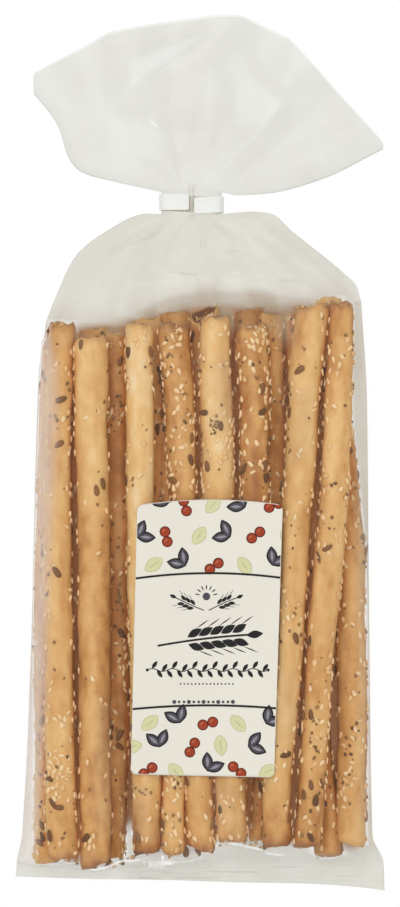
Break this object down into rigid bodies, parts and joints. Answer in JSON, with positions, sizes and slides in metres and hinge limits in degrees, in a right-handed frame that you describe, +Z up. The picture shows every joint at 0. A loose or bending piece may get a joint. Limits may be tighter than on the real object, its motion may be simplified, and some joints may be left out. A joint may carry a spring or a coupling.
{
  "type": "bag of grissini breadsticks",
  "caption": "Clear film bag of seeded grissini breadsticks, lying on its back, tied at the neck with a flat clip, with a paper label on its front and a fanned crown.",
  "frame": {"origin": "centre of the bag's footprint, on the surface that it lies on", "axes": "+Y along the bag, from the sealed hem to the open crown; +Z up, out of the front that carries the label; +X to the right of the front"},
  "size_m": [0.1454, 0.3439, 0.0262],
  "materials": {
    "bag": "clear crinkled film over golden seeded breadsticks",
    "clip": "white, satin",
    "label": "uncoated ivory paper"
  },
  "bodies": {
    "root": {"bag": "bag", "clip": "clip", "label": "label"}
  },
  "joints": []
}
